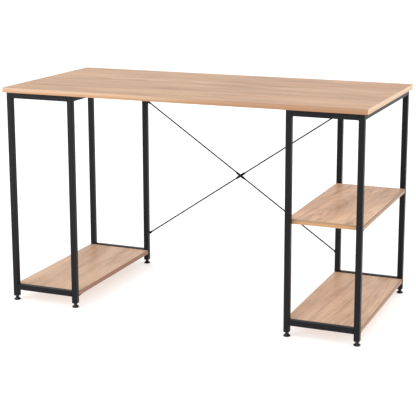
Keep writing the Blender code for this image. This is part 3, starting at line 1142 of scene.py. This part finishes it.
# Radius and height of a foot's moulded flare, from the middle of its underside up to its neck
FOOT_FLARE = (
    (0.0, 0.0006),
    (0.0070, 0.0006),
    (0.0074, 0.0),
    (0.0098, 0.0),
    (0.0108, 0.0003),
    (0.0115, 0.0010),
    (0.0119, 0.0020),
    (0.0119, 0.0026),
    (0.0114, 0.0035),
    (0.0104, 0.0046),
    (0.0089, 0.0058),
    (0.0074, 0.0070),
    (0.0063, 0.0083),
    (0.0057, 0.0098),
    (0.0056, 0.0112),
)
NECK_ROUNDING = ((0.0056, 0.0006), (0.0052, 0.0))
STUD_CHAMFER = 0.0008
INSERT_GAP = 0.0003  # between a foot's neck and the insert above it
THREAD_RUN_IN = 0.001  # plain stud below and above the thread
FOOT_SIDES = 40
STEPS_PER_TURN = 20


def foot_tree(name, sizes, low, high, neck_top):
    """A levelling foot: its flare and neck, and the threaded stud that turns in the insert."""
    core = sizes.stud_radius - sizes.thread_depth
    tree = Growth(
        name, {"Pitch": sizes.pitch, "Thread Depth": sizes.thread_depth, "Core Radius": core}
    )
    profile = [*FOOT_FLARE, *((radius, neck_top - below) for radius, below in NECK_ROUNDING)]
    profile += [(core, neck_top), (core, high.z - STUD_CHAMFER)]
    profile += [(core - STUD_CHAMFER, high.z), (0.0, high.z)]
    body = tree.turned(profile, FOOT_SIDES)
    thread_height = high.z - neck_top - 2 * THREAD_RUN_IN
    turns = {
        "Resolution": STEPS_PER_TURN,
        "Rotations": thread_height / tree.size("Pitch"),
        "Start Radius": tree.size("Core Radius"),
        "End Radius": tree.size("Core Radius"),
        "Height": thread_height,
    }
    helix = tree.node("GeometryNodeCurveSpiral", None, turns)
    helix = tree.node("GeometryNodeSetCurveNormal", {"mode": "Z_UP"}, {"Curve": helix})
    ridge = {"Resolution": 4, "Radius": tree.size("Thread Depth")}
    section = tree.node("GeometryNodeCurvePrimitiveCircle", None, ridge)
    sockets = {"Curve": helix, "Profile Curve": section, "Fill Caps": True}
    thread = tree.node("GeometryNodeCurveToMesh", None, sockets)
    thread = tree.moved(thread, (0.0, 0.0, neck_top + THREAD_RUN_IN))
    centre = ((low.x + high.x) / 2, (low.y + high.y) / 2, 0.0)
    return tree, tree.moved(tree.joined(body, thread), centre)


class DESK_OT_feet(bpy.types.Operator):
    """Make the levelling feet with their threaded studs, and the inserts that they turn in"""

    bl_idname = "desk.feet"
    bl_label = "Levelling feet"
    bl_options = {"REGISTER", "UNDO"}

    def execute(self, context):
        plastic = shared_finish("moulded_black_plastic")
        for side, row, place in LEGS:
            leg = f"{side}_{row}_{place}"
            neck_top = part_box(f"{leg}_insert")[0].z - INSERT_GAP
            name, foot_box = f"{leg}_glide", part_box(f"{leg}_foot")
            tree, foot = foot_tree(name, context.scene.desk.feet, *foot_box, neck_top)
            piece = tree.grow(name, bpy.data.meshes.new(f"{name}_start"), foot, plastic)
            hand_over(piece, f"{leg}_foot", "black_plastic", f"{leg}_foot")
            insert = smooth_copy(f"{leg}_insert", f"{leg}_insert_moulded", plastic)
            hand_over(insert, "root", "black_plastic", f"{leg}_insert")
        return {"FINISHED"}


# Stage

WHITE = (1.0, 1.0, 1.0)
FLOOR_RADIUS = 40.0
OVERHEAD_SPREAD = math.radians(70)
OVERHEAD_TURN = (math.radians(44), math.radians(-12), 0.0)
PANEL_SIZE = 1.6


def add_lamp(light, **settings):
    lamp = bpy.data.objects.new(light.name, light)
    for key, value in settings.items():
        setattr(lamp, key, value)
    bpy.context.scene.collection.objects.link(lamp)


def add_soft_panel(name, place, target, power):
    """A square soft light that faces its target."""
    light = bpy.data.lights.new(name, "AREA")
    light.size = PANEL_SIZE
    light.energy = power
    facing = (Vector(target) - Vector(place)).to_track_quat("-Z", "Y").to_euler()
    add_lamp(light, location=place, rotation_euler=facing)


class DESK_OT_stage(bpy.types.Operator):
    """Set up the pale floor, the soft lights and the camera"""

    bl_idname = "desk.stage"
    bl_label = "Stage"
    bl_options = {"REGISTER", "UNDO"}

    def execute(self, context):
        stage = context.scene.desk.stage
        bm = bmesh.new()
        bmesh.ops.create_circle(bm, cap_ends=True, segments=96, radius=FLOOR_RADIUS)
        mesh = bpy.data.meshes.new("floor")
        bm.to_mesh(mesh)
        bm.free()
        finish = Finish("studio_floor")
        cloud = finish.noise(finish.place, 3.0, 2.0)
        tone = context.scene.desk.colours.floor
        colour = finish.mix(cloud * 0.25, tinted(tone), tinted(tone, 0.98))
        glow = {"Emission_Color": tinted(WHITE), "Emission_Strength": stage.floor_glow}
        floor = add_piece("floor", mesh, finish.surface(colour, 0.60 + cloud * 0.05, **glow))

        world = bpy.data.worlds.new("studio")
        world.use_nodes = True
        sky = world.node_tree.nodes["Background"]
        sky.inputs["Color"].default_value = tinted(WHITE)
        sky.inputs["Strength"].default_value = stage.sky
        context.scene.world = world
        context.scene.view_settings.view_transform = "Standard"

        overhead = bpy.data.lights.new("overhead_light", "SUN")
        overhead.energy = stage.overhead
        overhead.angle = OVERHEAD_SPREAD
        add_lamp(overhead, rotation_euler=OVERHEAD_TURN)
        add_soft_panel("front_light", (-1.5, -2.0, 0.9), (-0.5, -0.3, 0.5), stage.key)
        add_soft_panel("right_light", (2.6, -0.4, 0.9), (0.6, 0.0, 0.5), stage.side)

        data = bpy.data.cameras.new("camera")
        data.lens = stage.lens
        data.shift_x = stage.shift_x
        data.shift_y = stage.shift_y
        camera = bpy.data.objects.new("camera", data)
        camera.location = stage.camera_place
        camera.rotation_euler = (math.pi / 2 - stage.camera_pitch, 0.0, stage.camera_turn)
        context.scene.collection.objects.link(camera)
        context.scene.camera = camera
        return {"FINISHED"}


class DESK_PT_panel(bpy.types.Panel):
    """The desk's settings and its building steps"""

    bl_idname = "DESK_PT_panel"
    bl_label = "Computer desk"
    bl_space_type = "VIEW_3D"
    bl_region_type = "UI"
    bl_category = "Desk"

    def draw(self, context):
        desk = context.scene.desk
        for title, group in (
            ("Boards", desk.boards),
            ("Welds", desk.welds),
            ("Screws", desk.screws),
            ("Feet", desk.feet),
            ("Colours", desk.colours),
            ("Stage", desk.stage),
        ):
            box = self.layout.box()
            box.label(text=title)
            for key in group.bl_rna.properties.keys():
                if key not in ("rna_type", "name"):
                    box.prop(group, key)
        for step in STEPS:
            self.layout.operator(step.bl_idname)


STEPS = (
    DESK_OT_stage,
    DESK_OT_desktop,
    DESK_OT_shelves,
    DESK_OT_steel_frame,
    DESK_OT_welds,
    DESK_OT_screws,
    DESK_OT_brace,
    DESK_OT_feet,
)
GROUPS = (
    DeskBoardSizes,
    DeskWeldSizes,
    DeskScrewSizes,
    DeskFootSizes,
    DeskColours,
    DeskStageSizes,
    DeskSettings,
)


def register():
    for each in (*GROUPS, *STEPS, DESK_PT_panel):
        bpy.utils.register_class(each)
    bpy.types.Scene.desk = bpy.props.PointerProperty(type=DeskSettings)


def unregister():
    del bpy.types.Scene.desk
    for each in reversed((*GROUPS, *STEPS, DESK_PT_panel)):
        bpy.utils.unregister_class(each)


def main():
    register()
    for step in STEPS:
        group, name = step.bl_idname.split(".")
        getattr(getattr(bpy.ops, group), name)()


if __name__ == "__main__":
    main()
